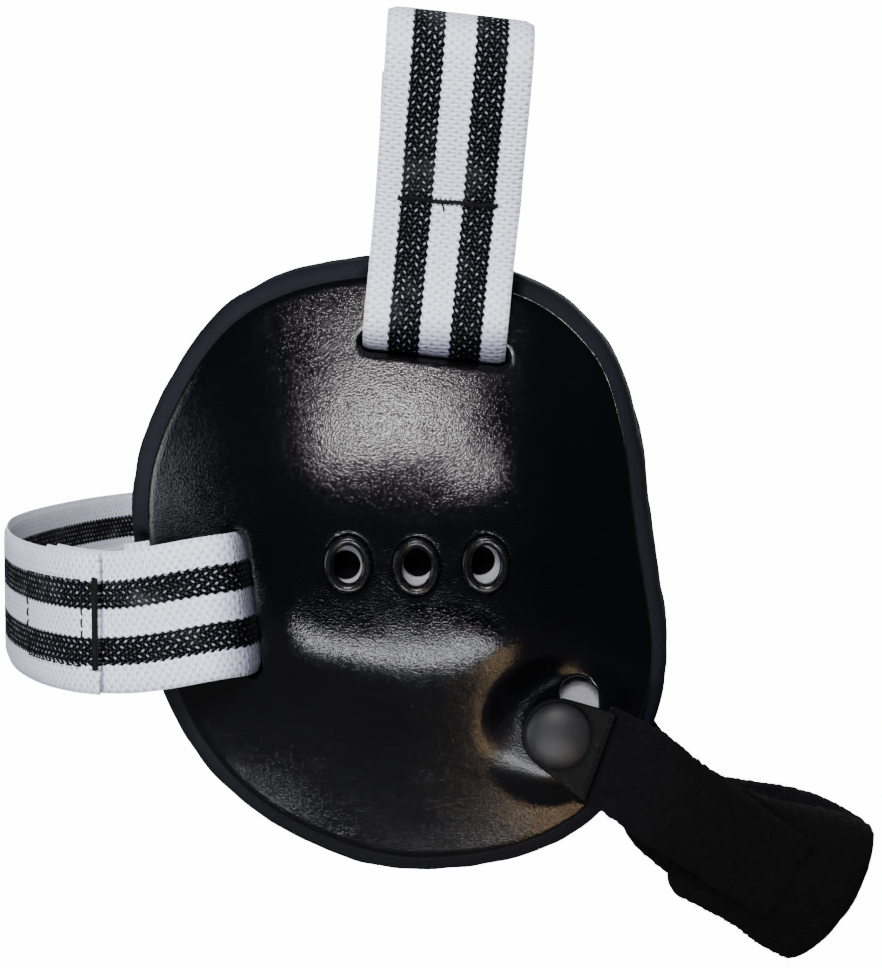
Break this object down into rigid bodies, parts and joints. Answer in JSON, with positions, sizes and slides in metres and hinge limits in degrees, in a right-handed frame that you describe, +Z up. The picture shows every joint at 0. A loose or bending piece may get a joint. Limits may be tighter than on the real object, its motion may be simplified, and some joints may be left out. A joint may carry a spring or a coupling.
{
  "type": "wrestling headgear",
  "caption": "Wrestling headgear: padded ear cups with vents, elastic striped crown and back straps, and a hook-and-loop chin strap on press studs.",
  "frame": {"origin": "middle of the crown strap's flat underside, where the headgear rests on the top of the head", "axes": "+X to the wearer's face, +Y to the wearer's left, +Z up"},
  "size_m": [0.1826, 0.18, 0.1922],
  "materials": {
    "shell_skin": "semi-gloss pebbled black skin over moulded foam",
    "liner_foam": "matt pale grey foam",
    "pad_foam": "matt dark grey closed-cell foam",
    "eyelet_enamel": "gloss black enamel",
    "snap_steel": "bright plated steel",
    "cap_enamel": "satin black enamel",
    "tab_webbing": "matt black coated webbing",
    "loop_tape": "black napped loop tape",
    "hook_tape": "black woven hook tape",
    "striped_webbing": "white elastic webbing with two black stripes"
  },
  "bodies": {
    "harness": {"crown_strap": "striped_webbing", "back_strap": "striped_webbing"},
    "right_cup": {"right_shell": "shell_skin", "right_liner": "liner_foam", "right_ear_pad": "pad_foam", "right_vent_eyelet_1": "eyelet_enamel", "right_vent_eyelet_2": "eyelet_enamel", "right_vent_eyelet_3": "eyelet_enamel", "right_snap_stud": "snap_steel", "right_snap_rivet": "snap_steel", "right_back_loop": "striped_webbing"},
    "left_cup": {"left_shell": "shell_skin", "left_liner": "liner_foam", "left_ear_pad": "pad_foam", "left_vent_eyelet_1": "eyelet_enamel", "left_vent_eyelet_2": "eyelet_enamel", "left_vent_eyelet_3": "eyelet_enamel", "left_snap_stud": "snap_steel", "left_snap_rivet": "snap_steel", "left_back_loop": "striped_webbing"},
    "chin_right": {"right_chin_strap": "loop_tape", "right_hook_strip": "hook_tape", "chin_pad": "loop_tape"},
    "chin_left": {"left_chin_strap": "loop_tape", "left_hook_strip": "hook_tape"},
    "right_snap": {"right_snap_cap": "cap_enamel", "right_snap_socket": "snap_steel", "right_chin_tab": "tab_webbing"},
    "left_snap": {"left_snap_cap": "cap_enamel", "left_snap_socket": "snap_steel", "left_chin_tab": "tab_webbing"}
  },
  "joints": [
    {"name": "right_cup_spread", "type": "slide", "parent": "harness", "child": "right_cup", "axis": [0, -1, 0], "range_m": [0, 0.02], "stiffness_N_per_m": 300, "deforming": ["crown_strap", "back_strap"]},
    {"name": "left_cup_spread", "type": "slide", "parent": "harness", "child": "left_cup", "axis": [0, 1, 0], "range_m": [0, 0.02], "stiffness_N_per_m": 300, "deforming": ["crown_strap", "back_strap"]},
    {"name": "chin_strap_swing", "type": "hinge", "parent": "right_cup", "child": "chin_right", "pos_m": [0.0174, -0.0785, -0.1262], "axis": [0, 1, 0], "range_deg": [-15, 25]},
    {"name": "chin_strap_widen", "type": "slide", "parent": "chin_right", "child": "chin_left", "axis": [0, 1, 0], "range_m": [0, 0.04], "deforming": ["chin_pad"]},
    {"name": "right_snap_release", "type": "slide", "parent": "chin_right", "child": "right_snap", "axis": [0, -1, 0], "range_m": [0, 0.004], "deforming": ["right_chin_strap"]},
    {"name": "left_snap_release", "type": "slide", "parent": "chin_left", "child": "left_snap", "axis": [0, 1, 0], "range_m": [0, 0.004], "deforming": ["left_chin_strap"]}
  ],
  "couplings": [
    {"joint": "left_cup_spread", "follows": "right_cup_spread", "ratio": 1},
    {"joint": "chin_strap_widen", "follows": "right_cup_spread", "ratio": 2}
  ]
}
